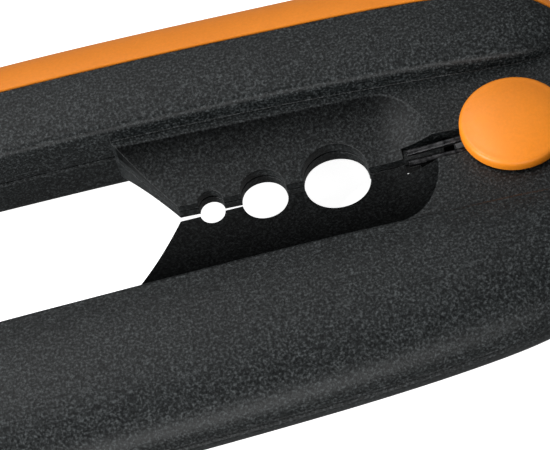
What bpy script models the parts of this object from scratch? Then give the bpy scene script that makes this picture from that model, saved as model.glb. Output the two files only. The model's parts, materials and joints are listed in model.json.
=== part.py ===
"""Spring-opened hand snips with a three-hole wire stripper between the grips and the pivot.

Origin: on the pivot axis, at the flat back of the rear pivot cap. +X runs to the blade tips, +Y to
the handle with the coloured strip, and +Z from the back to the front. Every length below is in
millimetres, and MM turns it into metres. Each arm is drawn closed in its own frame, whose origin is
the pivot at mid-thickness, and is then turned open by half of REST_OPENING_DEG.
"""

import math

import bmesh
import bpy
from mathutils import Vector

MM = 0.001

# Pose and layers
REST_OPENING_DEG = 2.7
MID_HEIGHT = 7.2
SEAM = 0.15
GAP = 0.3
BLADE_LOW = 0.15
BLADE_HIGH = 1.65
BLADE_ROOM = 1.95
HEAD_TOP = 3.5

# Handle outline in plan: (x, distance from the parting line)
UPPER_INNER = ((-134, 11.0), (-131, 7.4), (-124, 5.6), (-108, 7.2), (-85, 10.1), (-60, 10.95),
               (-32, 11.1), (-10, 10.5), (4, 10.0), (10, 11.5))
LOWER_INNER = ((-134, 11.0), (-131, 7.4), (-124, 5.6), (-108, 7.2), (-85, 9.9), (-60, 10.5),
               (-32, 10.7), (-10, 11.1), (4, 11.4), (10, 12.4))
UPPER_OUTER = ((-134, 16.5), (-131, 20.0), (-124, 22.8), (-108, 25.0), (-85, 27.4), (-60, 28.5),
               (-32, 28.8), (-12, 28.8), (0, 27.6), (6, 24.4), (10, 18.5))
LOWER_OUTER = ((-134, 16.5), (-131, 20.2), (-124, 23.2), (-108, 26.8), (-85, 30.0), (-60, 31.1),
               (-32, 30.8), (-12, 29.3), (0, 27.0), (6, 23.4), (10, 17.5))
UPPER_EDGES = (UPPER_INNER, UPPER_OUTER)
LOWER_EDGES = (LOWER_INNER, LOWER_OUTER)
HALF_THICKNESS = ((-134, 4.2), (-131, 5.9), (-124, 6.9), (-108, 7.2), (-12, 7.2), (0, 6.9),
                  (6, 6.2), (10, 4.8))
STATIONS = (-134, -133, -131, -128, -124, -118, -110, -101, -92, -83, -74, -66, -58, -50, -42,
            -34, -26, -18, -10, -4, 1, 5, 8, 9.5, 10)
LEAN_START = -20
LEAN_BEND = 0.00055
CROWN_RISE = 1.2
CROWN_PEAK = 0.34
CROWN_POWER = 2.3
EDGE_RADIUS = 1.0
STRIP_WIDTH = 8.05
STRIP_SHARE = 0.45

# Stripper plates and head. A hole is (x, diameter, rise of its upper half from the parting line)
PLATE_TIP = -43.4
PLATE_ROOT = (-50.4, 10.4)
HEAD_END = 9.0
NOTCH_SLOPE = math.tan(math.radians(14))
PLATE_GAP = 0.15
HOLES = ((-39.2, 3.2, 0), (-32.4, 5.85, 0.2), (-23.0, 8.4, 0.45))
SCOOP_RADIUS = 22.5
SCOOP_AXIS = 23.75
SCOOP_END = -17.2
SCOOP_SQUASH = 0.73
HUB_ROOM = 6.2
SLOT = (-14.3, -5.0, 1.7, 1.2)
CHINK = (-14.3, -12.4, -1.7)
SWEEP_ROOM = (-9.0, 18.6)
TANG_ROOM = (-42.0, -8.5, 11.6, 18.9)

# Pivot
BOLT_RADIUS = 2.5
BOLT_HEAD = 3.7
WASHER_RADIUS = 3.9
NUT_RADIUS = 4.4
CAP_RADIUS = 6.85
CAP_SEAT = 3.85
CAP_TOP = 6.3
CAP_EDGE = 4.7
CAP_ROOM = (5.4, 4.5)
SPRING_WIRE = 0.9
SPRING_RADIUS = 4.6
SPRING_TURN = (168, -168)
SPRING_HEIGHT = (3.05, 2.4)
LEG_END = -13.8

# Fasteners and lock
SCREWS = ((-16.0, 15.2), (-36.0, 15.2), (-91.0, 16.0))
SCREW_RADIUS = 1.4
SCREW_HEAD = 2.6
SCREW_HEAD_LOW = -6.3
SCREW_HEAD_HIGH = -4.7
SCREW_TIP = 4.0
LOCK_PIN = (-124.0, -10.6)
LOCK_REACH = 20.65
STUD_RADIUS = 1.3
LOCK_STUD_Y = 9.4
LOCK_HALF = 1.2
LOCK_ROOM = 1.6
LOCK_HUB = 3.4
PIN_HALF_LENGTH = 4.6

# A blade in its own arm's frame: tang above the parting line, cutting edge and tip below
BLADE_OUTLINE = ((-39.5, 12.2), (-39.5, 18.1), (-6, 18.1), (0, 16.6), (4, 12.4), (6.2, 6.0),
                 (8.5, 1.5), (24, 1.1), (44, 0.4), (57.4, -0.9), (58, -1.5), (57.2, -2.2),
                 (50, -4.6), (40, -6.9), (28, -8.4), (16, -8.8), (8, -8.2), (3.2, -7.4),
                 (-1.5, -7.4), (-5, -5.6), (-7.2, -2.6), (-7.6, 1.5), (-7.4, 9.5), (-8.2, 11.4),
                 (-10, 12.2))

# Cutters reach this far past the piece
BEYOND = 9

BLACK = (0.030, 0.036, 0.036, 1)
ORANGE = (0.82, 0.25, 0.015, 1)
STEEL = (0.55, 0.56, 0.57, 1)
DARK_STEEL = (0.08, 0.08, 0.085, 1)
BRONZE = (0.50, 0.33, 0.14, 1)


def clear_scene():
    for obj in list(bpy.data.objects):
        bpy.data.objects.remove(obj, do_unlink=True)


def new_collection(name):
    made = bpy.data.collections.new(name)
    bpy.context.scene.collection.children.link(made)
    return made


def new_material(name, colour, roughness, metallic):
    made = bpy.data.materials.new(name)
    made.use_nodes = True
    shader = made.node_tree.nodes["Principled BSDF"]
    shader.inputs["Base Color"].default_value = colour
    shader.inputs["Roughness"].default_value = roughness
    shader.inputs["Metallic"].default_value = metallic
    return made


def add_object(name, mesh, parent, colour=None):
    """Links a mesh as a part when it has a colour, (rgba, roughness, metallic), and else as a cutter."""
    obj = bpy.data.objects.new(name, mesh)
    obj.parent = parent
    if colour:
        PARTS.objects.link(obj)
        mesh.materials.append(new_material(name + "_material", *colour))
        mesh.shade_smooth()
        mesh.set_sharp_from_angle(angle=math.radians(35))
    else:
        CUTTERS.objects.link(obj)
        obj.hide_render = True
        obj.display_type = "WIRE"
    return obj


def mesh_from(name, bm):
    """A mesh with outward normals from a bmesh, which is freed."""
    bmesh.ops.recalc_face_normals(bm, faces=bm.faces)
    mesh = bpy.data.meshes.new(name)
    bm.to_mesh(mesh)
    bm.free()
    return mesh


def boolean(obj, other, operation="DIFFERENCE"):
    modifier = obj.modifiers.new(other.name, "BOOLEAN")
    modifier.operation = operation
    modifier.object = other


def box(name, low, high, parent, colour=None):
    bm = bmesh.new()
    bmesh.ops.create_cube(bm, size=1)
    size = (Vector(high) - Vector(low)) * MM
    bmesh.ops.scale(bm, vec=size, verts=bm.verts)
    bmesh.ops.translate(bm, vec=(Vector(high) + Vector(low)) * MM / 2, verts=bm.verts)
    return add_object(name, mesh_from(name, bm), parent, colour)


def rod(name, radius, low, high, parent, colour=None, at=(0, 0), sides=32):
    """A cylinder or prism along Z from low to high, at the plan point given."""
    bm = bmesh.new()
    bmesh.ops.create_cone(bm, cap_ends=True, segments=sides, radius1=radius * MM,
                          radius2=radius * MM, depth=(high - low) * MM)
    centre = Vector((at[0], at[1], (low + high) / 2)) * MM
    bmesh.ops.translate(bm, vec=centre, verts=bm.verts)
    return add_object(name, mesh_from(name, bm), parent, colour)


def turned(name, profile, parent, colour=None, at=(0, 0), steps=32):
    """A profile of (radius, height) points, running down its outer side, turned about Z."""
    bm = bmesh.new()
    points = [bm.verts.new((radius * MM, 0, height * MM)) for radius, height in profile]
    for first, second in zip(points, points[1:]):
        bm.edges.new((first, second))
    mesh = bpy.data.meshes.new(name)
    bm.to_mesh(mesh)
    bm.free()
    obj = add_object(name, mesh, parent, colour)
    obj.location = (at[0] * MM, at[1] * MM, 0)
    screw = obj.modifiers.new("turn", "SCREW")
    screw.steps = steps
    screw.render_steps = steps
    screw.use_merge_vertices = True
    screw.merge_threshold = 0.00001
    screw.use_smooth_shade = True
    return obj


def plate(name, outline, low, high, parent, colour=None):
    """A flat piece with the plan outline given, between two heights."""
    curve = bpy.data.curves.new(name, "CURVE")
    curve.dimensions = "2D"
    curve.fill_mode = "BOTH"
    curve.extrude = (high - low) / 2 * MM
    spline = curve.splines.new("POLY")
    spline.points.add(len(outline) - 1)
    for point, (x, y) in zip(spline.points, outline):
        point.co = (x * MM, y * MM, 0, 1)
    spline.use_cyclic_u = True
    guide = bpy.data.objects.new(name + "_outline", curve)
    bpy.context.scene.collection.objects.link(guide)
    bpy.context.view_layer.update()
    graph = bpy.context.evaluated_depsgraph_get()
    drawn = bpy.data.meshes.new_from_object(guide.evaluated_get(graph))
    bpy.data.objects.remove(guide, do_unlink=True)
    bm = bmesh.new()
    bm.from_mesh(drawn)
    bmesh.ops.remove_doubles(bm, verts=bm.verts, dist=0.000001)
    bmesh.ops.translate(bm, vec=(0, 0, (low + high) / 2 * MM), verts=bm.verts)
    return add_object(name, mesh_from(name, bm), parent, colour)


def loft(name, rings, parent, colour=None):
    """A closed body through rings of points, which all hold the same number of them."""
    bm = bmesh.new()
    loops = [[bm.verts.new(Vector(point) * MM) for point in ring] for ring in rings]
    for first, second in zip(loops, loops[1:]):
        for i in range(len(first)):
            j = (i + 1) % len(first)
            bm.faces.new((first[i], first[j], second[j], second[i]))
    bm.faces.new(loops[0])
    bm.faces.new(loops[-1])
    return add_object(name, mesh_from(name, bm), parent, colour)


def smooth_value(table, x):
    """The value at x of a smooth curve through the table's (x, value) rows."""
    last = len(table) - 1
    i = max(k for k in range(last) if table[k][0] <= x)

    def slope(k):
        low = table[max(k - 1, 0)]
        high = table[min(k + 1, last)]
        return (high[1] - low[1]) / (high[0] - low[0])

    (x0, y0), (x1, y1) = table[i], table[i + 1]
    width = x1 - x0
    t = (x - x0) / width
    start = (2 * t**3 - 3 * t**2 + 1) * y0 + (t**3 - 2 * t**2 + t) * width * slope(i)
    end = (3 * t**2 - 2 * t**3) * y1 + (t**3 - t**2) * width * slope(i + 1)
    return start + end


def lean(x):
    """How far both handles bend towards -Y, left of the stripper."""
    return -LEAN_BEND * max(LEAN_START - x, 0) ** 1.9


def crown(share, edge, peak):
    """Surface height at a share of the way from the inner edge to the outer one."""
    if share < CROWN_PEAK:
        return edge + (peak - edge) * math.sin(math.pi / 2 * share / CROWN_PEAK)
    fall = min((share - CROWN_PEAK) / (1 - CROWN_PEAK), 1)
    return peak * (1 - fall**CROWN_POWER) ** (1 / CROWN_POWER)


def handle_numbers(x, edges):
    """The section at x: its inner and outer edges, its highest point and its inner shoulder."""
    inner, outer = (smooth_value(table, x) for table in edges)
    peak = min(smooth_value(HALF_THICKNESS, x), MID_HEIGHT)
    return inner, outer, peak, peak - CROWN_RISE


def strip_line(inner, outer):
    """Where the coloured strip begins, from the parting line."""
    return outer - min(STRIP_WIDTH, STRIP_SHARE * (outer - inner))


def shell_ring(x, side, face, edges, with_strip):
    """A handle half's section at x. side is 1 for the upper arm, and face is 1 for the front."""
    inner, outer, peak, edge = handle_numbers(x, edges)
    width = outer - inner
    limit = 1.0
    if with_strip:
        limit = (strip_line(inner, outer) - GAP / 2 - inner) / width
    radius = min(EDGE_RADIUS, 0.15 * width)
    points = [(inner, SEAM), (inner, edge - radius)]
    first = radius / width
    corner = crown(first, edge, peak)
    for turn in (30, 60):
        angle = math.radians(turn)
        y = inner + radius * (1 - math.cos(angle))
        z = edge - radius + (corner - edge + radius) * math.sin(angle)
        points.append((y, z))
    steps = 9
    for i in range(steps):
        share = first + (limit - first) * math.sin(math.pi / 2 * i / steps)
        points.append((inner + width * share, crown(share, edge, peak)))
    height = max(crown(limit, edge, peak), 0.9)
    points.append((inner + width * limit, height))
    points.append((inner + width * limit, SEAM))
    return [(x, side * y + lean(x), face * z) for y, z in points]


def strip_ring(x):
    """The coloured strip's section at x, over the upper handle's outer back, front to rear."""
    inner, outer, peak, edge = handle_numbers(x, UPPER_EDGES)
    width = outer - inner
    first = (strip_line(inner, outer) + GAP / 2 - inner) / width
    steps = 7
    half = []
    for i in range(steps):
        share = first + (1 - first) * math.sin(math.pi / 2 * i / steps)
        half.append((inner + width * share, crown(share, edge, peak)))
    ring = half + [(outer, 0)] + [(y, -z) for y, z in reversed(half)]
    return [(x, y + lean(x), z) for y, z in ring]


def head_slab(name, side, face, parent):
    """One arm's half of the stripper plate and the head, scooped hollow around the stripper."""
    edge = side * PLATE_GAP
    notch_end = HEAD_END * NOTCH_SLOPE + PLATE_GAP
    outline = [(PLATE_TIP, edge), (0, edge), (HEAD_END, side * notch_end), (HEAD_END, side * 13),
               (PLATE_ROOT[0], side * 13), (PLATE_ROOT[0], side * PLATE_ROOT[1])]
    low, high = sorted((face * SEAM, face * HEAD_TOP))
    slab = plate(name + "_slab", outline, low, high, parent)
    boolean(slab, scoop(name + "_scoop", face, parent))
    return slab


def scoop(name, face, parent):
    """A cylinder along X with a squashed round end, as the hollow around the stripper holes."""
    reach = SCOOP_RADIUS * SCOOP_SQUASH
    quarter = [math.pi / 2 * i / 10 for i in range(11)]
    profile = [(SCOOP_RADIUS * math.sin(a), SCOOP_END + reach * math.cos(a)) for a in quarter]
    profile += [(SCOOP_RADIUS, -70), (0, -70)]
    obj = turned(name, profile, parent, steps=72)
    obj.rotation_euler = (0, math.pi / 2, 0)
    obj.location = (0, 0, face * SCOOP_AXIS * MM)
    return obj


def mechanism_cutters(name, side, face, parent):
    """The spaces that the blades, spring, screws and lock need in one handle half."""
    cutters = []
    for i, (x, diameter, rise) in enumerate(HOLES):
        at = (x, max(side, 0) * rise)
        cutters.append(rod(f"{name}_hole_{i}", diameter / 2, -BEYOND, BEYOND, parent, at=at, sides=40))
    cutters.append(rod(f"{name}_hub", HUB_ROOM, -BEYOND, BEYOND, parent, sides=48))
    left, reach = SWEEP_ROOM
    cutters.append(box(f"{name}_sweep", (left, -reach, -BLADE_ROOM), (30, reach, BLADE_ROOM), parent))
    left, right, near, far = TANG_ROOM
    low, high = sorted((side * near, side * far))
    cutters.append(box(f"{name}_tang", (left, low, -BLADE_ROOM), (right, high, BLADE_ROOM), parent))
    for i, (x, y) in enumerate(SCREWS):
        cutters.append(screw_room(f"{name}_screw_{i}", (x, side * y + lean(x)), parent))
    if face > 0:
        left, right, half, low = SLOT
        cutters.append(box(f"{name}_slot", (left, -half, low), (right, half, BEYOND), parent))
    if side < 0:
        left, right, low = CHINK
        cutters.append(box(f"{name}_chink", (left, low, -BEYOND), (right, 1, BEYOND), parent))
    cutters += lock_cutters(name, side, parent)
    return cutters


def screw_room(name, at, parent):
    """A stepped hole, wide for the screw's head and narrow for its shank."""
    wide = SCREW_HEAD + GAP
    narrow = SCREW_RADIUS + GAP
    seat = SCREW_HEAD_HIGH + GAP
    profile = [(0, SCREW_TIP + GAP), (narrow, SCREW_TIP + GAP), (narrow, seat), (wide, seat),
               (wide, -BEYOND), (0, -BEYOND)]
    return turned(name, profile, parent, at=at, steps=20)


def lock_place(side):
    """The lock's pin on the lower arm, or its stud on the upper one, in that arm's frame."""
    x, y = LOCK_PIN
    return (x, (LOCK_STUD_Y if side > 0 else y) + lean(x))


def lock_cutters(name, side, parent):
    """The slot that the lock swings in, and the hole for its pin or stud."""
    at = lock_place(side)
    hole = rod(f"{name}_pin_hole", STUD_RADIUS + GAP, -PIN_HALF_LENGTH - GAP, PIN_HALF_LENGTH + GAP,
               parent, at=at, sides=24)
    if side > 0:
        low, high = (-140, lean(-124) - 2, -LOCK_ROOM), (-109, at[1] + 4.6, LOCK_ROOM)
    else:
        low, high = (-140, at[1] - LOCK_HUB - 0.6, -LOCK_ROOM), (-97.5, lean(-124) + 2, LOCK_ROOM)
    return [hole, box(f"{name}_lock_slot", low, high, parent)]


def handle_half(name, side, face, parent):
    """One moulded half of a handle, with its half of the stripper plate and head."""
    edges = UPPER_EDGES if side > 0 else LOWER_EDGES
    rings = [shell_ring(x, side, face, edges, side > 0) for x in STATIONS]
    shell = loft(name, rings, parent, (BLACK, 0.55, 0))
    boolean(shell, head_slab(name, side, face, parent), "UNION")
    for cutter in mechanism_cutters(name, side, face, parent):
        boolean(shell, cutter)
    return shell


def grip_strip(parent):
    """The coloured strip, cleared where the blades turn."""
    strip = loft("upper_grip_strip", [strip_ring(x) for x in STATIONS], parent, (ORANGE, 0.4, 0))
    left, reach = SWEEP_ROOM
    room = box("strip_sweep", (left, 0, -BLADE_ROOM), (30, reach, BLADE_ROOM), parent)
    boolean(strip, room)


def blade(name, side, parent):
    """A blade with its hub and tang. The upper arm's tang is above, and its blade below."""
    low, high = sorted((side * BLADE_LOW, side * BLADE_HIGH))
    made = plate(name, [(x, side * y) for x, y in BLADE_OUTLINE], low, high, parent, (STEEL, 0.3, 1))
    boolean(made, rod(name + "_bore", BOLT_RADIUS + GAP, -BEYOND, BEYOND, parent))
    for i, (x, y) in enumerate(SCREWS[:2]):
        at = (x, side * y + lean(x))
        hole = rod(f"{name}_screw_{i}", SCREW_RADIUS + GAP, -BEYOND, BEYOND, parent, at=at, sides=20)
        boolean(made, hole)
    return made


def pivot_pieces(parent):
    """The bolt and its nut, and the two washers that space the blades."""
    steel = (DARK_STEEL, 0.4, 1)
    bolt = [(0, 4.1), (BOLT_HEAD - 0.4, 4.1), (BOLT_HEAD, 3.8), (BOLT_HEAD, 2.75),
            (BOLT_RADIUS, 2.75), (BOLT_RADIUS, -5.4), (BOLT_RADIUS - 0.4, -5.7), (0, -5.7)]
    turned("pivot_bolt", bolt, parent, steel)
    for name, low in (("front_washer", BLADE_HIGH + GAP), ("back_washer", -BLADE_HIGH - GAP - 0.5)):
        washer = rod(name, WASHER_RADIUS, low, low + 0.5, parent, (BRONZE, 0.35, 1))
        boolean(washer, rod(name + "_bore", BOLT_RADIUS + GAP, -BEYOND, BEYOND, parent))
    nut = rod("pivot_nut", NUT_RADIUS, -5.3, -2.75, parent, steel, sides=6)
    boolean(nut, rod("pivot_nut_bore", BOLT_RADIUS + GAP, -BEYOND, BEYOND, parent))


def pivot_caps(parent):
    """The domed front cap and the flat rear one, both hollow around the bolt."""
    room, ceiling = CAP_ROOM
    arc = [math.pi / 2 * i / 8 for i in range(9)]
    dome = [(CAP_RADIUS * math.sin(a), CAP_EDGE + (CAP_TOP - CAP_EDGE) * math.cos(a)) for a in arc]
    front = dome + [(CAP_RADIUS, CAP_SEAT), (room, CAP_SEAT), (room, ceiling), (0, ceiling)]
    turned("pivot_cap", front, parent, (ORANGE, 0.35, 0), steps=48)
    rear = [(0, -6.2), (room, -6.2), (room, -CAP_SEAT), (CAP_RADIUS, -CAP_SEAT),
            (CAP_RADIUS, -MID_HEIGHT + 0.7), (CAP_RADIUS - 0.7, -MID_HEIGHT), (0, -MID_HEIGHT)]
    turned("rear_pivot_cap", rear, parent, (BLACK, 0.5, 0), steps=48)


def torsion_spring(parent):
    """One turn of wire around the bolt head, with a leg along each stripper plate."""
    start, end = SPRING_TURN
    high, low = SPRING_HEIGHT
    turns = 30
    coil = []
    for i in range(turns + 1):
        angle = math.radians(start + (end - start) * i / turns)
        height = high + (low - high) * i / turns
        coil.append((SPRING_RADIUS * math.cos(angle), SPRING_RADIUS * math.sin(angle), height))
    upper = [(LEG_END, 0.62, 2.7), (-9.5, 0.66, 2.85), (-6.2, 0.75, 3.0), (-5.2, 0.86, 3.05)]
    lower = [(-5.2, -0.86, 2.4), (-6.2, -0.8, 2.35), (-9.5, -0.72, 2.3), (LEG_END, -0.66, 2.2)]
    points = upper + coil[1:-1] + lower
    curve = bpy.data.curves.new("torsion_spring", "CURVE")
    curve.dimensions = "3D"
    curve.bevel_depth = SPRING_WIRE / 2 * MM
    curve.bevel_resolution = 2
    curve.use_fill_caps = True
    spline = curve.splines.new("POLY")
    spline.points.add(len(points) - 1)
    for point, place in zip(spline.points, points):
        point.co = (*(Vector(place) * MM), 1)
    spring = bpy.data.objects.new("torsion_spring", curve)
    spring.parent = parent
    PARTS.objects.link(spring)
    curve.materials.append(new_material("torsion_spring_material", DARK_STEEL, 0.3, 1))


def handle_screws(arm, side, parent):
    """Three screws from the back, each with a hex recess in its head."""
    for i, (x, y) in enumerate(SCREWS):
        at = (x, side * y + lean(x))
        profile = [(0, SCREW_TIP), (SCREW_RADIUS, SCREW_TIP - 0.6), (SCREW_RADIUS, SCREW_HEAD_HIGH),
                   (SCREW_HEAD, SCREW_HEAD_HIGH), (SCREW_HEAD, SCREW_HEAD_LOW + 0.4),
                   (SCREW_HEAD - 0.4, SCREW_HEAD_LOW), (0, SCREW_HEAD_LOW)]
        screw = turned(f"{arm}_handle_screw_{i + 1}", profile, parent, (DARK_STEEL, 0.4, 1), at, 20)
        socket = rod(f"{screw.name}_socket", 1.2, -BEYOND, SCREW_HEAD_LOW + 0.9, parent, at=at, sides=6)
        boolean(screw, socket)


def lock_outline():
    """The catch at rest: its hub on the pin, its arm along +X, and its hook open to +Y."""
    reach = LOCK_REACH
    mouth = STUD_RADIUS + GAP
    hub = [math.radians(a) for a in range(60, 301, 20)]
    outline = [(LOCK_HUB * math.cos(a), LOCK_HUB * math.sin(a)) for a in hub]
    outline += [(reach + 2.2, -3.0), (reach + 3.3, -2.0), (reach + 3.4, 2.2), (reach + mouth + 0.2, 2.6)]
    bottom = [math.radians(a) for a in range(0, -181, -30)]
    outline += [(reach + mouth * math.cos(a), mouth * math.sin(a)) for a in bottom]
    outline += [(reach - mouth - 0.4, 2.2), (reach - mouth - 2.4, 2.4), (9, 1.9)]
    return outline


def lock(lower, upper):
    """The swinging catch at the butt of the lower handle, and the stud that it hooks."""
    x, y = lock_place(-1)
    hinge = bpy.data.objects.new("lock_hinge", None)
    hinge.parent = lower
    hinge.location = (x * MM, y * MM, 0)
    PARTS.objects.link(hinge)
    catch = plate("lock_catch", lock_outline(), -LOCK_HALF, LOCK_HALF, hinge, (ORANGE, 0.4, 0))
    boolean(catch, rod("lock_catch_bore", STUD_RADIUS + GAP, -BEYOND, BEYOND, hinge, sides=24))
    length = PIN_HALF_LENGTH
    steel = (DARK_STEEL, 0.35, 1)
    rod("lock_pin", STUD_RADIUS, -length, length, lower, steel, at=(x, y), sides=20)
    rod("lock_stud", STUD_RADIUS, -length, length, upper, steel, at=lock_place(1), sides=20)


def arm_frame(name, side):
    """An empty on the pivot axis at mid-thickness, turned open by its half of the resting angle."""
    frame = bpy.data.objects.new(name, None)
    frame.location = (0, 0, MID_HEIGHT * MM)
    frame.rotation_euler = (0, 0, -side * math.radians(REST_OPENING_DEG / 2))
    PARTS.objects.link(frame)
    return frame


def build():
    upper = arm_frame("upper_arm_frame", 1)
    lower = arm_frame("lower_arm_frame", -1)
    for arm, side, frame in (("upper", 1, upper), ("lower", -1, lower)):
        handle_half(f"{arm}_handle_front", side, 1, frame)
        handle_half(f"{arm}_handle_back", side, -1, frame)
        blade(f"{arm}_arm_blade", side, frame)
        handle_screws(arm, side, frame)
    grip_strip(upper)
    pivot_pieces(lower)
    pivot_caps(lower)
    torsion_spring(lower)
    lock(lower, upper)


clear_scene()
PARTS = new_collection("stripping_snips")
CUTTERS = new_collection("cutters")
build()
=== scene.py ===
"""The looks of the stripping snips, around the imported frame.

Lengths in the tables are millimetres, and MM turns them into metres. Each arm is drawn closed in
its own frame, whose origin is the pivot at mid-thickness, and is then turned open by half of the
resting angle, as the CAD does.
"""

import json
import math

import bmesh
import bpy
from mathutils import Matrix, Vector


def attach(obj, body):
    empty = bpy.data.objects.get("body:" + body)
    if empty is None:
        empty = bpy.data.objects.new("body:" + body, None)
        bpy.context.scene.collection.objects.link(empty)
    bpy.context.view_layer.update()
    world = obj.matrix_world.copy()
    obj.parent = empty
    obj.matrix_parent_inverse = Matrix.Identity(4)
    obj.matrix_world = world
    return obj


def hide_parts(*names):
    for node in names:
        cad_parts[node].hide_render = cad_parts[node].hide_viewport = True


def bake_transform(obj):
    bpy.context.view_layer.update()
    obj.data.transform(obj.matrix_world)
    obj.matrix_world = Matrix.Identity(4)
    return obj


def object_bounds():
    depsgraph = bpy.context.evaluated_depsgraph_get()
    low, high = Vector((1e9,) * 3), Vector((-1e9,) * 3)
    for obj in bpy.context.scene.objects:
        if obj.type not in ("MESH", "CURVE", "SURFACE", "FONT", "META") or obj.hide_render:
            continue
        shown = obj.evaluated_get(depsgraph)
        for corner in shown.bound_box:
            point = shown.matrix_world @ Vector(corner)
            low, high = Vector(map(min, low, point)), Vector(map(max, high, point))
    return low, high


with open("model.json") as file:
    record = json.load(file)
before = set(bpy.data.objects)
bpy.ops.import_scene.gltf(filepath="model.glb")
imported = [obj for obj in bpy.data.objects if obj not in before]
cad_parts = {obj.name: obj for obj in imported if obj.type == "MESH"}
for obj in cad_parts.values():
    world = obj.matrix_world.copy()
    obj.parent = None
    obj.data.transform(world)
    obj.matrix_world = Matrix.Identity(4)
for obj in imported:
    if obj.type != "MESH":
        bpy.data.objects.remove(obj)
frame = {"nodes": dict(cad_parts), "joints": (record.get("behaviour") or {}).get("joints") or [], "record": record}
cad_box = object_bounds()

MM = 0.001
PIVOT = Vector(next(j for j in frame["joints"] if j["name"] == "arm_pivot")["pos_m"])
HALF_OPENING = math.radians(1.35)

# Handle outline in plan: (x, distance from the parting line)
UPPER_INNER = ((-134, 11.0), (-131, 7.4), (-124, 5.6), (-108, 7.2), (-85, 10.1), (-60, 10.95),
               (-32, 11.1), (-10, 10.5), (4, 10.0), (10, 11.5))
LOWER_INNER = ((-134, 11.0), (-131, 7.4), (-124, 5.6), (-108, 7.2), (-85, 9.9), (-60, 10.5),
               (-32, 10.7), (-10, 11.1), (4, 11.4), (10, 12.4))
UPPER_OUTER = ((-134, 16.5), (-131, 20.0), (-124, 22.8), (-108, 25.0), (-85, 27.4), (-60, 28.5),
               (-32, 28.8), (-12, 28.8), (0, 27.6), (6, 24.4), (10, 18.5))
LOWER_OUTER = ((-134, 16.5), (-131, 20.2), (-124, 23.2), (-108, 26.8), (-85, 30.0), (-60, 31.1),
               (-32, 30.8), (-12, 29.3), (0, 27.0), (6, 23.4), (10, 17.5))
UPPER_EDGES = (UPPER_INNER, UPPER_OUTER)
LOWER_EDGES = (LOWER_INNER, LOWER_OUTER)
HALF_THICKNESS = ((-134, 4.2), (-131, 5.9), (-124, 6.9), (-108, 7.2), (-12, 7.2), (0, 6.9),
                  (6, 6.2), (10, 4.8))
BUTT = -134
NOSE = 10
MID_HEIGHT = 7.2
SEAM = 0.15
GAP = 0.3
LEAN_START = -20
LEAN_BEND = 0.00055
CROWN_RISE = 1.2
CROWN_PEAK = 0.34
CROWN_POWER = 2.3
EDGE_RADIUS = 1.0
SEAM_CHAMFER = 0.25
SEAM_LIP = 0.75
STRIP_WIDTH = 8.05
STRIP_SHARE = 0.45

# Stripper plates and head
HEAD_TOP = 3.5
PLATE_TIP = -43.4
PLATE_ROOT = (-50.4, 10.4)
HEAD_END = 9.0
NOTCH_SLOPE = math.tan(math.radians(14))
HOLES = ((-39.2, 3.2, 0), (-32.4, 5.85, 0.2), (-23.0, 8.4, 0.45))
SCOOP_RADIUS = 22.5
SCOOP_AXIS = 23.75
SCOOP_END = -17.2
SCOOP_SQUASH = 0.73
HUB_ROOM = 6.2
SLOT = (-14.3, -5.0, 1.7, 1.2)
CHINK = (-14.3, -12.4, -1.7)
SWEEP_ROOM = (-9.0, 18.6)
BLADE_ROOM = 1.95
BLADE_LOW = 0.15
BLADE_HIGH = 1.65
GRIND_WIDTH = 3.6
TANG_ROOM = (-42.0, -8.5, 11.6, 18.9)
SCREWS = ((-16.0, 15.2), (-36.0, 15.2), (-91.0, 16.0))
SCREW_ROOM = (2.9, -4.4)
LOCK_PIN = (-124.0, -10.6)
LOCK_STUD_Y = 9.4
LOCK_ROOM = 1.6
LOCK_HUB = 3.4

# Pivot
BOLT_RADIUS = 2.5
CAP_RADIUS = 6.85
CAP_SEAT = 3.85
CAP_TOP = 6.3
CAP_ROOM = (5.4, 4.5)
SPRING_WIRE = 0.9
SPRING_RADIUS = 4.6
SPRING_TURN = (168, -168)
SPRING_HEIGHT = (3.05, 2.4)
LEG_END = -13.8

# Cutters reach this far past the piece, and the head slab this far under the handle
BEYOND = 9
SLAB_REACH = 13

# A blade in its own arm's frame: tang above the parting line, cutting edge and tip below
BLADE_OUTLINE = ((-39.5, 12.2), (-39.5, 18.1), (-6, 18.1), (0, 16.6), (4, 12.4), (6.2, 6.0),
                 (8.5, 1.5), (24, 1.1), (44, 0.4), (57.4, -0.9), (58, -1.5), (57.2, -2.2),
                 (50, -4.6), (40, -6.9), (28, -8.4), (16, -8.8), (8, -8.2), (3.2, -7.4),
                 (-1.5, -7.4), (-5, -5.6), (-7.2, -2.6), (-7.6, 1.5), (-7.4, 9.5), (-8.2, 11.4),
                 (-10, 12.2))

# Lights, in metres and watts: (name, place, size, power)
LIGHTS = (("key", (-0.30, 0.50, 0.62), 0.5, 1.7), ("scoop", (-0.40, 0.13, 0.75), 0.12, 2.6),
          ("front", (-0.06, -0.88, 0.17), 0.3, 4.0), ("left", (-0.80, -0.35, 0.30), 0.3, 8.0))
LIGHT_AIM = Vector((-0.035, 0, 0.007))
WORLD_STRENGTH = 0.26
FLOOR_GLOW = 0.92

# Camera: looking at TARGET from ELEVATION, rolled so that +X rises to the right
TARGET = Vector((-31.9, -4.7, 8.2))
ELEVATION = math.radians(55)
ROLL = math.radians(12.7)
DISTANCE = 286.5
FOCAL = 150


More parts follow.
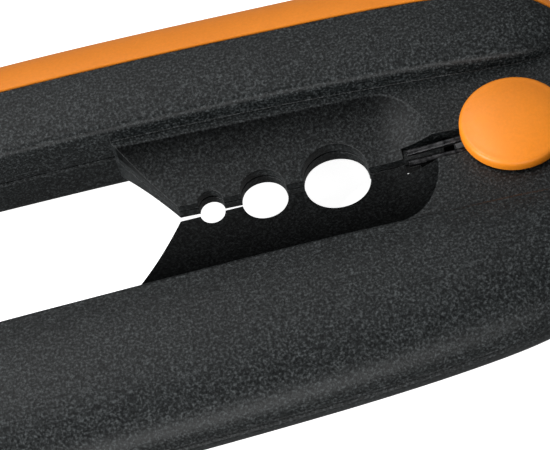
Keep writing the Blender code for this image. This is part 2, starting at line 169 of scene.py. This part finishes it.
def make_camera():
    """A long lens above the front of the stripper."""
    data = bpy.data.cameras.new("camera")
    data.lens = FOCAL
    data.sensor_width = 36
    data.clip_start = 0.01
    back = Vector((0, -math.cos(ELEVATION), math.sin(ELEVATION)))
    level_up = Vector((0, math.sin(ELEVATION), math.cos(ELEVATION)))
    right = Vector((math.cos(ROLL), 0, 0)) - level_up * math.sin(ROLL)
    up = Vector((math.sin(ROLL), 0, 0)) + level_up * math.cos(ROLL)
    camera = bpy.data.objects.new("camera", data)
    place = (TARGET + back * DISTANCE) * MM
    camera.matrix_world = Matrix.Translation(place) @ Matrix((right, up, back)).transposed().to_4x4()
    bpy.context.scene.collection.objects.link(camera)
    bpy.context.scene.camera = camera


# ---------------------------------------------------------------- materials


class Nodes:
    """A material's node tree, with short calls to add and join nodes."""

    def __init__(self, name):
        self.material = bpy.data.materials.new(name)
        self.material.use_nodes = True
        self.tree = self.material.node_tree
        self.shader = self.tree.nodes["Principled BSDF"]
        self.place = self.add("ShaderNodeTexCoord").outputs["Object"]

    def add(self, kind, **settings):
        node = self.tree.nodes.new(kind)
        for key, value in settings.items():
            setattr(node, key, value)
        return node

    def join(self, source, socket):
        """Feeds a socket from another one, or with a constant."""
        if isinstance(source, bpy.types.NodeSocket):
            self.tree.links.new(source, socket)
        else:
            socket.default_value = source

    def noise(self, scale, detail=3, roughness=0.5, stretch=None):
        node = self.add("ShaderNodeTexNoise")
        node.inputs["Scale"].default_value = scale
        node.inputs["Detail"].default_value = detail
        node.inputs["Roughness"].default_value = roughness
        place = self.place
        if stretch:
            mapping = self.add("ShaderNodeMapping")
            mapping.inputs["Scale"].default_value = stretch
            self.join(place, mapping.inputs["Vector"])
            place = mapping.outputs["Vector"]
        self.join(place, node.inputs["Vector"])
        return node.outputs["Fac"]

    def ramp(self, source, stops):
        """Colours or grey values by the source, as (position, value) stops."""
        node = self.add("ShaderNodeValToRGB")
        elements = node.color_ramp.elements
        while len(elements) < len(stops):
            elements.new(0.5)
        for element, (position, value) in zip(elements, stops):
            element.position = position
            element.color = value if isinstance(value, tuple) else (value, value, value, 1)
        self.join(source, node.inputs["Fac"])
        return node.outputs["Color"]

    def along(self, axis, low, high, stops):
        """A ramp by place along one axis, whose stops 0 and 1 are low and high millimetres."""
        split = self.add("ShaderNodeSeparateXYZ")
        self.join(self.place, split.inputs[0])
        share = self.add("ShaderNodeMapRange")
        share.inputs["From Min"].default_value = low * MM
        share.inputs["From Max"].default_value = high * MM
        self.join(split.outputs[axis], share.inputs["Value"])
        return self.ramp(share.outputs["Result"], stops)

    def mix(self, kind, amount, first, second):
        node = self.add("ShaderNodeMix", data_type="RGBA", blend_type=kind)
        sockets = [s for s in node.inputs if s.type == "RGBA"]
        self.join(amount, node.inputs[0])
        self.join(first, sockets[0])
        self.join(second, sockets[1])
        return next(s for s in node.outputs if s.type == "RGBA")

    def bump(self, height, strength, distance, after=None):
        node = self.add("ShaderNodeBump")
        node.inputs["Strength"].default_value = strength
        node.inputs["Distance"].default_value = distance
        self.join(height, node.inputs["Height"])
        if after:
            self.join(after, node.inputs["Normal"])
        return node.outputs["Normal"]

    def rounded(self, radius):
        node = self.add("ShaderNodeBevel", samples=4)
        node.inputs["Radius"].default_value = radius
        return node.outputs["Normal"]

    def edges(self, radius):
        """0 on flat ground, and more where the surface turns sharply within the radius."""
        turn = self.add("ShaderNodeVectorMath", operation="DOT_PRODUCT")
        self.join(self.rounded(radius), turn.inputs[0])
        self.join(self.add("ShaderNodeNewGeometry").outputs["Normal"], turn.inputs[1])
        away = self.add("ShaderNodeMath", operation="SUBTRACT")
        away.inputs[0].default_value = 1.0
        self.join(turn.outputs["Value"], away.inputs[1])
        return away.outputs["Value"]

    def put(self, name, value):
        self.join(value, self.shader.inputs[name])


def black_nylon():
    """Glass-filled nylon: pale specks on near-black, a painted highlight along sharp edges, and painted shade in
    the stripper's hollow.
    """
    n = Nodes("black_nylon")
    grain = n.noise(3000, 2, 0.7)
    specks = n.ramp(grain, ((0.36, (0.0015, 0.0022, 0.0024, 1)), (0.52, (0.0055, 0.0075, 0.008, 1)),
                            (0.74, (0.050, 0.057, 0.059, 1))))
    cloud = n.ramp(n.noise(90, 3), ((0.3, 0.86), (0.7, 1.12)))
    # Painted shade: a mask over the stripper's hollow, where the base colour and the specular are darkened.
    in_depth = n.along("Z", 8.0, 11.0, ((0.08, 0.0), (0.12, 1.0), (0.86, 1.0), (0.895, 0.0)))
    in_length = n.along("X", -52.0, -8.0, ((0.03, 0.0), (0.04, 1.0), (0.96, 1.0), (1.0, 0.0)))
    in_width = n.along("Y", -12.0, 12.0, ((0.03, 0.0), (0.05, 1.0), (0.95, 1.0), (0.97, 0.0)))
    hollow = n.mix("MULTIPLY", 1.0, n.mix("MULTIPLY", 1.0, in_depth, in_length), in_width)
    # Painted shade across the hollow: darkest on the lower plate, light just above the parting line, dark again
    # towards the upper handle.
    painted_shade_by_y = n.along("Y", -12.0, 12.0, ((0.0, 0.10), (0.49, 0.30), (0.51, 0.85), (0.72, 0.70),
                                        (0.93, 0.22)))
    painted_shade = n.mix("MIX", hollow, (1, 1, 1, 1), painted_shade_by_y)
    # Painted highlight: the base colour is lightened where the surface turns sharply, a thin light line along the
    # edges.
    painted_edge_highlight = n.ramp(n.edges(0.00016), ((0.03, 0.0), (0.30, 0.06)))
    body = n.mix("MULTIPLY", 1.0, n.mix("MULTIPLY", 1.0, specks, cloud), painted_shade)
    n.put("Base Color", n.mix("ADD", 1.0, body, painted_edge_highlight))
    n.put("Roughness", n.ramp(grain, ((0.3, 0.42), (0.7, 0.60))))
    shine = n.ramp(grain, ((0.35, 0.22), (0.70, 0.50)))
    # The painted shade also dims the specular in the hollow.
    n.put("Specular IOR Level", n.mix("MULTIPLY", 1.0, shine, painted_shade))
    n.put("Normal", n.bump(grain, 0.5, 0.00008, n.rounded(0.00022)))
    return n.material


def orange_plastic():
    """Satin orange plastic, faintly mottled, with fine handling scratches in its roughness."""
    n = Nodes("orange_plastic")
    fine = n.noise(2600, 2, 0.5)
    tint = n.ramp(n.noise(160, 3), ((0.3, (0.79, 0.225, 0.007, 1)), (0.7, (0.84, 0.245, 0.009, 1))))
    n.put("Base Color", n.mix("MULTIPLY", 1.0, tint, n.ramp(fine, ((0.3, 0.95), (0.7, 1.03)))))
    n.put("Roughness", n.ramp(n.noise(700, 4, 0.6), ((0.3, 0.40), (0.7, 0.52))))
    n.put("Normal", n.bump(fine, 0.12, 0.00003, n.rounded(0.0002)))
    return n.material


def blade_steel():
    """Ground stainless steel: fine lines across the blade, and soft stains."""
    n = Nodes("blade_steel")
    lines = n.noise(900, 4, 0.6, (3.0, 0.12, 1.0))
    stains = n.noise(220, 3)
    n.put("Base Color", n.ramp(stains, ((0.3, (0.27, 0.275, 0.28, 1)), (0.7, (0.36, 0.365, 0.37, 1)))))
    n.put("Metallic", 1.0)
    n.put("Roughness", n.ramp(lines, ((0.3, 0.40), (0.7, 0.56))))
    n.put("Normal", n.bump(lines, 0.2, 0.00002, n.rounded(0.0001)))
    return n.material


def dark_steel():
    """Oiled dark spring steel and blackened screws."""
    n = Nodes("dark_steel")
    wear = n.noise(1500, 4, 0.6)
    n.put("Base Color", n.ramp(wear, ((0.35, (0.030, 0.030, 0.032, 1)), (0.75, (0.14, 0.14, 0.145, 1)))))
    n.put("Metallic", 1.0)
    n.put("Roughness", n.ramp(wear, ((0.3, 0.24), (0.7, 0.42))))
    n.put("Normal", n.bump(wear, 0.15, 0.00002, n.rounded(0.0001)))
    return n.material


def bronze():
    """Turned bronze washers."""
    n = Nodes("bronze")
    rings = n.noise(1200, 3, 0.6)
    n.put("Base Color", n.ramp(rings, ((0.3, (0.42, 0.27, 0.11, 1)), (0.7, (0.56, 0.38, 0.17, 1)))))
    n.put("Metallic", 1.0)
    n.put("Roughness", n.ramp(rings, ((0.3, 0.28), (0.7, 0.42))))
    return n.material


# ---------------------------------------------------------------- shapes


def arm_matrix(side):
    """From an arm's closed frame to the row frame."""
    return Matrix.Translation(PIVOT) @ Matrix.Rotation(-side * HALF_OPENING, 4, "Z")


def link(name, mesh, matrix=None):
    obj = bpy.data.objects.new(name, mesh)
    bpy.context.scene.collection.objects.link(obj)
    if matrix:
        obj.matrix_world = matrix
    return obj


def mesh_from(name, bm):
    """A mesh with outward normals from a bmesh, which is freed."""
    bmesh.ops.recalc_face_normals(bm, faces=bm.faces)
    mesh = bpy.data.meshes.new(name)
    bm.to_mesh(mesh)
    bm.free()
    return mesh


def box(name, low, high):
    bm = bmesh.new()
    bmesh.ops.create_cube(bm, size=1)
    bmesh.ops.scale(bm, vec=(Vector(high) - Vector(low)) * MM, verts=bm.verts)
    bmesh.ops.translate(bm, vec=(Vector(high) + Vector(low)) * MM / 2, verts=bm.verts)
    return link(name, mesh_from(name, bm))


def rod(name, radius, low, high, at=(0, 0), sides=96):
    bm = bmesh.new()
    bmesh.ops.create_cone(bm, cap_ends=True, segments=sides, radius1=radius * MM,
                          radius2=radius * MM, depth=(high - low) * MM)
    centre = Vector((at[0], at[1], (low + high) / 2)) * MM
    bmesh.ops.translate(bm, vec=centre, verts=bm.verts)
    return link(name, mesh_from(name, bm))


def turned(name, profile, steps=128):
    """A profile of (radius, height) points, from axis to axis, turned about Z."""
    bm = bmesh.new()
    rings = []
    for radius, height in profile:
        if radius == 0:
            rings.append([bm.verts.new((0, 0, height * MM))])
            continue
        turns = [2 * math.pi * i / steps for i in range(steps)]
        rings.append([bm.verts.new((radius * MM * math.cos(a), radius * MM * math.sin(a), height * MM))
                      for a in turns])
    for first, second in zip(rings, rings[1:]):
        for i in range(steps):
            j = (i + 1) % steps
            corners = [first[i % len(first)], first[j % len(first)], second[j % len(second)],
                       second[i % len(second)]]
            bm.faces.new(list(dict.fromkeys(corners)))
    return link(name, mesh_from(name, bm))


def plate(name, outline, low, high):
    """A flat piece with the plan outline given, between two heights."""
    bm = bmesh.new()
    face = bm.faces.new([bm.verts.new((x * MM, y * MM, low * MM)) for x, y in outline])
    top = bmesh.ops.extrude_face_region(bm, geom=[face])["geom"]
    verts = [v for v in top if isinstance(v, bmesh.types.BMVert)]
    bmesh.ops.translate(bm, vec=(0, 0, (high - low) * MM), verts=verts)
    return link(name, mesh_from(name, bm))


def loft(name, rings):
    """A closed body through rings of points, which all hold the same number of them."""
    bm = bmesh.new()
    loops = [[bm.verts.new(Vector(point) * MM) for point in ring] for ring in rings]
    for first, second in zip(loops, loops[1:]):
        for i in range(len(first)):
            j = (i + 1) % len(first)
            bm.faces.new((first[i], first[j], second[j], second[i]))
    bm.faces.new(loops[0])
    bm.faces.new(loops[-1])
    return link(name, mesh_from(name, bm))


def carve(obj, others, operation="DIFFERENCE"):
    """Applies a Boolean with each of the others, which are then removed."""
    for other in others:
        modifier = obj.modifiers.new("cut", "BOOLEAN")
        modifier.operation = operation
        modifier.object = other
        graph = bpy.context.evaluated_depsgraph_get()
        mesh = bpy.data.meshes.new_from_object(obj.evaluated_get(graph))
        obj.modifiers.clear()
        obj.data = mesh
        bpy.data.objects.remove(other, do_unlink=True)


def finish_piece(obj, body, slot, *nodes, matrix=None, sharp=32):
    """Smooth shading, material, place and body of one piece that stands for CAD nodes."""
    mesh = obj.data
    if matrix:
        mesh.transform(matrix)
    mesh.shade_smooth()
    mesh.set_sharp_from_angle(angle=math.radians(sharp))
    mesh.materials.clear()
    mesh.materials.append(MATERIALS[slot])
    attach(obj, body)
    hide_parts(*nodes)


def smooth_value(table, x):
    """The value at x of a smooth curve through the table's (x, value) rows."""
    last = len(table) - 1
    i = max(k for k in range(last) if table[k][0] <= x)

    def slope(k):
        low = table[max(k - 1, 0)]
        high = table[min(k + 1, last)]
        return (high[1] - low[1]) / (high[0] - low[0])

    (x0, y0), (x1, y1) = table[i], table[i + 1]
    width = x1 - x0
    t = (x - x0) / width
    start = (2 * t**3 - 3 * t**2 + 1) * y0 + (t**3 - 2 * t**2 + t) * width * slope(i)
    end = (3 * t**2 - 2 * t**3) * y1 + (t**3 - t**2) * width * slope(i + 1)
    return start + end


def lean(x):
    """How far both handles bend towards -Y, left of the stripper."""
    return -LEAN_BEND * max(LEAN_START - x, 0) ** 1.9


def crown(share, edge, peak):
    """Surface height at a share of the way from the inner edge to the outer one."""
    if share < CROWN_PEAK:
        return edge + (peak - edge) * math.sin(math.pi / 2 * share / CROWN_PEAK)
    fall = min((share - CROWN_PEAK) / (1 - CROWN_PEAK), 1)
    return peak * (1 - fall**CROWN_POWER) ** (1 / CROWN_POWER)


def stations():
    """Places along a handle, close together at its rounded ends."""
    count = 110
    middle = (BUTT + NOSE) / 2
    half = (NOSE - BUTT) / 2
    places = []
    for i in range(count + 1):
        t = 2 * i / count - 1
        places.append(middle + half * math.copysign(1 - (1 - abs(t)) ** 1.35, t))
    return places


def handle_numbers(x, edges):
    """The section at x: its inner and outer edges, its highest point and its inner shoulder."""
    inner, outer = (smooth_value(table, x) for table in edges)
    peak = min(smooth_value(HALF_THICKNESS, x), MID_HEIGHT)
    return inner, outer, peak, peak - CROWN_RISE


def strip_line(inner, outer):
    return outer - min(STRIP_WIDTH, STRIP_SHARE * (outer - inner))


def shell_ring(x, side, face, edges, with_strip):
    """A handle half's section at x, with a small chamfer along the seam."""
    inner, outer, peak, edge = handle_numbers(x, edges)
    width = outer - inner
    limit = 1.0
    if with_strip:
        limit = (strip_line(inner, outer) - 0.05 - inner) / width
    radius = min(EDGE_RADIUS, 0.15 * width)
    chamfer = min(SEAM_CHAMFER, 0.05 * width)
    points = [(inner + chamfer, SEAM), (inner, SEAM + chamfer), (inner, edge - radius)]
    first = radius / width
    corner = crown(first, edge, peak)
    for turn in range(9, 90, 9):
        angle = math.radians(turn)
        y = inner + radius * (1 - math.cos(angle))
        points.append((y, edge - radius + (corner - edge + radius) * math.sin(angle)))
    last = limit - chamfer / width if with_strip else limit
    steps = 36
    for i in range(steps):
        share = first + (last - first) * math.sin(math.pi / 2 * i / steps)
        points.append((inner + width * share, max(crown(share, edge, peak), SEAM_LIP)))
    if with_strip:
        points.append((inner + width * last, crown(last, edge, peak)))
        points.append((inner + width * limit, crown(limit, edge, peak) - chamfer))
    else:
        points.append((inner + width * limit, SEAM_LIP))
    points.append((inner + width * limit, SEAM + chamfer))
    points.append((inner + width * limit - chamfer, SEAM))
    return [(x, side * y + lean(x), face * z) for y, z in points]


def strip_ring(x):
    """The coloured strip's section at x, over the upper handle's outer back."""
    inner, outer, peak, edge = handle_numbers(x, UPPER_EDGES)
    width = outer - inner
    first = (strip_line(inner, outer) + 0.05 - inner) / width
    steps = 18
    half = [(inner + width * first, crown(first, edge, peak) - 0.25)]
    for i in range(steps):
        share = first + 0.2 / width + (1 - first - 0.2 / width) * math.sin(math.pi / 2 * i / steps)
        half.append((inner + width * share, crown(share, edge, peak)))
    ring = half + [(outer, 0)] + [(y, -z) for y, z in reversed(half)]
    return [(x, y + lean(x), z) for y, z in ring]


def scoop(face):
    """The hollow around the stripper holes: a cylinder along X with a squashed round end."""
    reach = SCOOP_RADIUS * SCOOP_SQUASH
    quarter = [math.pi / 2 * i / 24 for i in range(25)]
    profile = [(SCOOP_RADIUS * math.sin(a), SCOOP_END + reach * math.cos(a)) for a in quarter]
    profile += [(SCOOP_RADIUS, x) for x in (-30, -45, -70)] + [(0, -70)]
    obj = turned("scoop", profile, 180)
    obj.data.transform(Matrix.Translation((0, 0, face * SCOOP_AXIS * MM))
                       @ Matrix.Rotation(math.pi / 2, 4, "Y"))
    return obj


def head_slab(side, face):
    """One arm's half of the stripper plate and the head, scooped hollow around the stripper."""
    edge = side * SEAM
    notch_end = HEAD_END * NOTCH_SLOPE + SEAM
    outline = [(PLATE_TIP, edge), (0, edge), (HEAD_END, side * notch_end), (HEAD_END, side * SLAB_REACH),
               (PLATE_ROOT[0], side * SLAB_REACH), (PLATE_ROOT[0], side * PLATE_ROOT[1])]
    low, high = sorted((face * SEAM, face * HEAD_TOP))
    slab = plate("slab", outline, low, high)
    carve(slab, [scoop(face)])
    return slab


def screw_room(at):
    wide, seat = SCREW_ROOM
    profile = [(0, 4.3), (1.7, 4.3), (1.7, seat), (wide, seat), (wide, -BEYOND), (0, -BEYOND)]
    obj = turned("screw_room", profile, 48)
    obj.data.transform(Matrix.Translation(Vector((*at, 0)) * MM))
    return obj


def lock_place(side):
    x, y = LOCK_PIN
    return (x, (LOCK_STUD_Y if side > 0 else y) + lean(x))


def shell_cutters(side, face):
    """The spaces that the lock, blades, spring and screws need in one handle half."""
    at = lock_place(side)
    if side > 0:
        low, high = (-137.3, lean(-124) - 2, -LOCK_ROOM), (-109, at[1] + 4.6, LOCK_ROOM)
    else:
        low, high = (-137.3, at[1] - LOCK_HUB - 0.6, -LOCK_ROOM), (-97.5, lean(-124) + 2, LOCK_ROOM)
    cutters = [box("lock_slot", low, high), rod("pin_hole", 1.6, -4.9, 4.9, at, 32)]
    for x, diameter, rise in HOLES:
        cutters.append(rod("hole", diameter / 2, -BEYOND, BEYOND, (x, max(side, 0) * rise)))
    cutters.append(rod("hub", HUB_ROOM, -BEYOND, BEYOND))
    left, reach = SWEEP_ROOM
    cutters.append(box("sweep", (left, -reach, -BLADE_ROOM), (30, reach, BLADE_ROOM)))
    left, right, near, far = TANG_ROOM
    low, high = sorted((side * near, side * far))
    cutters.append(box("tang", (left, low, -BLADE_ROOM), (right, high, BLADE_ROOM)))
    cutters += [screw_room((x, side * y + lean(x))) for x, y in SCREWS]
    if face > 0:
        left, right, half, low = SLOT
        cutters.append(box("slot", (left, -half, low), (right, half, BEYOND)))
    if side < 0:
        left, right, low = CHINK
        cutters.append(box("chink", (left, low, -BEYOND), (right, 1, BEYOND)))
    return cutters


def handle_shells():
    for arm, side, edges in (("upper", 1, UPPER_EDGES), ("lower", -1, LOWER_EDGES)):
        for place, face in (("front", 1), ("back", -1)):
            rings = [shell_ring(x, side, face, edges, side > 0) for x in stations()]
            shell = loft(f"{arm}_{place}_shell", rings)
            carve(shell, [head_slab(side, face)], "UNION")
            carve(shell, shell_cutters(side, face))
            finish_piece(shell, f"{arm}_arm", "black_nylon", f"{arm}_handle_{place}",
                         matrix=arm_matrix(side), sharp=13)


def grip_strip():
    strip = loft("grip_strip", [strip_ring(x) for x in stations()])
    left, reach = SWEEP_ROOM
    carve(strip, [box("strip_sweep", (left, 0, -BLADE_ROOM), (30, reach, BLADE_ROOM))])
    finish_piece(strip, "upper_arm", "orange_plastic", "upper_grip_strip", matrix=arm_matrix(1))


def pivot_caps():
    """The domed front cap, and the rear one with a shallow ring in its face."""
    room, ceiling = CAP_ROOM
    rim = 0.7
    dome = []
    for i in range(13):
        r = (CAP_RADIUS - rim) * i / 12
        dome.append((r, CAP_TOP - 0.8 * (r / (CAP_RADIUS - rim)) ** 2.4))
    turn = [math.radians(a) for a in range(15, 91, 15)]
    edge_top = CAP_TOP - 0.8
    dome += [(CAP_RADIUS - rim + rim * math.sin(a), edge_top - rim * (1 - math.cos(a))) for a in turn]
    front = dome + [(CAP_RADIUS, CAP_SEAT + 0.15), (CAP_RADIUS - 0.15, CAP_SEAT), (room, CAP_SEAT),
                    (room, ceiling), (0, ceiling)]
    cap = turned("cap", front)
    finish_piece(cap, "lower_arm", "orange_plastic", "pivot_cap", matrix=arm_matrix(-1))
    low = -MID_HEIGHT
    rear = [(0, -6.2), (room, -6.2), (room, -CAP_SEAT), (CAP_RADIUS - 0.15, -CAP_SEAT),
            (CAP_RADIUS, -CAP_SEAT - 0.15), (CAP_RADIUS, low + 0.8), (CAP_RADIUS - 0.1, low + 0.45),
            (CAP_RADIUS - 0.4, low + 0.12), (CAP_RADIUS - 0.8, low), (4.2, low), (4.0, low + 0.25),
            (3.6, low + 0.25), (3.4, low), (0, low)]
    back = turned("back_cap", rear)
    finish_piece(back, "lower_arm", "black_nylon", "rear_pivot_cap", matrix=arm_matrix(-1))


def spring():
    """The torsion spring: one turn around the bolt head and a leg along each plate."""
    start, end = SPRING_TURN
    high, low = SPRING_HEIGHT
    turns = 90
    coil = []
    for i in range(turns + 1):
        angle = math.radians(start + (end - start) * i / turns)
        height = high + (low - high) * i / turns
        coil.append((SPRING_RADIUS * math.cos(angle), SPRING_RADIUS * math.sin(angle), height))
    upper = [(LEG_END, 0.62, 2.7), (-9.5, 0.66, 2.85), (-6.2, 0.75, 3.0), (-5.2, 0.86, 3.05)]
    lower = [(-5.2, -0.86, 2.4), (-6.2, -0.8, 2.35), (-9.5, -0.72, 2.3), (LEG_END, -0.66, 2.2)]
    points = upper + coil[1:-1] + lower
    curve = bpy.data.curves.new("spring", "CURVE")
    curve.dimensions = "3D"
    curve.bevel_depth = SPRING_WIRE / 2 * MM
    curve.bevel_resolution = 6
    curve.use_fill_caps = True
    line = curve.splines.new("POLY")
    line.points.add(len(points) - 1)
    for point, place in zip(line.points, points):
        point.co = (*(Vector(place) * MM), 1)
    guide = link("spring_guide", curve)
    bpy.context.view_layer.update()
    graph = bpy.context.evaluated_depsgraph_get()
    mesh = bpy.data.meshes.new_from_object(guide.evaluated_get(graph))
    bpy.data.objects.remove(guide, do_unlink=True)
    mesh.transform(arm_matrix(-1))
    obj = link("spring", mesh)
    mesh.shade_smooth()
    mesh.materials.clear()
    mesh.materials.append(MATERIALS["dark_steel"])
    x, y, z = Vector((-10, 0, 9.6)) * MM
    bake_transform(obj)
    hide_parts("torsion_spring")


def blades():
    """The two blades, each ground to a slope along its cutting edge."""
    slope = math.atan2(BLADE_HIGH - BLADE_LOW - 0.1, GRIND_WIDTH)
    for arm, side in (("upper", 1), ("lower", -1)):
        low, high = sorted((side * BLADE_LOW, side * BLADE_HIGH))
        outline = [(x, side * y) for x, y in BLADE_OUTLINE]
        made = plate(f"{arm}_cutting_blade", outline, low, high)
        cutters = [rod("bore", BOLT_RADIUS + GAP, -BEYOND, BEYOND)]
        for x, y in SCREWS[:2]:
            cutters.append(rod("hole", 1.7, -BEYOND, BEYOND, (x, side * y + lean(x)), 32))
        grind = box("grind", (9.5, -GRIND_WIDTH, 0), (70, 6, 4))
        place = Matrix.Translation(Vector((0, 1.1, BLADE_LOW + 0.1)) * MM)
        place @= Matrix.Rotation(math.radians(-1.0), 4, "Z") @ Matrix.Rotation(-slope, 4, "X")
        if side < 0:
            place = Matrix.Rotation(math.pi, 4, "X") @ place
        grind.data.transform(place)
        carve(made, cutters + [grind])
        finish_piece(made, f"{arm}_arm", "blade_steel", f"{arm}_arm_blade", matrix=arm_matrix(side))


def dress_frame_nodes():
    """The CAD nodes that stay: welded and bevelled edges, and the same materials."""
    slots = {entry["node"]: entry["material_slot"] for entry in frame["record"]["subparts"]}
    for name, obj in frame["nodes"].items():
        obj.data.materials.clear()
        obj.data.materials.append(MATERIALS[slots[name]])
        weld = obj.modifiers.new("weld", "WELD")
        weld.merge_threshold = 0.000005
        bevel = obj.modifiers.new("bevel", "BEVEL")
        bevel.width = 0.00012
        bevel.segments = 2
        bevel.limit_method = "ANGLE"
        bevel.angle_limit = math.radians(35)
        bevel.harden_normals = True


def studio():
    """A white floor at the tool's underside, which lights nothing, and the area lights."""
    bm = bmesh.new()
    bmesh.ops.create_grid(bm, x_segments=1, y_segments=1, size=3)
    floor = link("floor", mesh_from("floor", bm))
    floor.location = (0, 0, cad_box[0][2] - 0.0002)
    material = bpy.data.materials.new("floor")
    material.use_nodes = True
    shader = material.node_tree.nodes["Principled BSDF"]
    shader.inputs["Base Color"].default_value = (0.8, 0.8, 0.8, 1)
    shader.inputs["Roughness"].default_value = 0.9
    shader.inputs["Emission Color"].default_value = (1, 1, 1, 1)
    shader.inputs["Emission Strength"].default_value = FLOOR_GLOW
    floor.data.materials.append(material)
    floor.visible_diffuse = False
    floor.visible_glossy = False
    for name, place, size, power in LIGHTS:
        data = bpy.data.lights.new(name, "AREA")
        data.size = size
        data.energy = power
        light = link(name, data)
        light.location = place
        light.rotation_euler = (LIGHT_AIM - light.location).to_track_quat("-Z", "Y").to_euler()
    world = bpy.data.worlds.new("world")
    bpy.context.scene.world = world
    world.use_nodes = True
    background = world.node_tree.nodes["Background"]
    background.inputs["Color"].default_value = (1, 1, 1, 1)
    background.inputs["Strength"].default_value = WORLD_STRENGTH
    bpy.context.scene.view_settings.view_transform = "Standard"


MATERIALS = {
    "black_nylon": black_nylon(),
    "orange_plastic": orange_plastic(),
    "blade_steel": blade_steel(),
    "dark_steel": dark_steel(),
    "bronze": bronze(),
}

make_camera()
handle_shells()
grip_strip()
pivot_caps()
spring()
blades()
dress_frame_nodes()
studio()
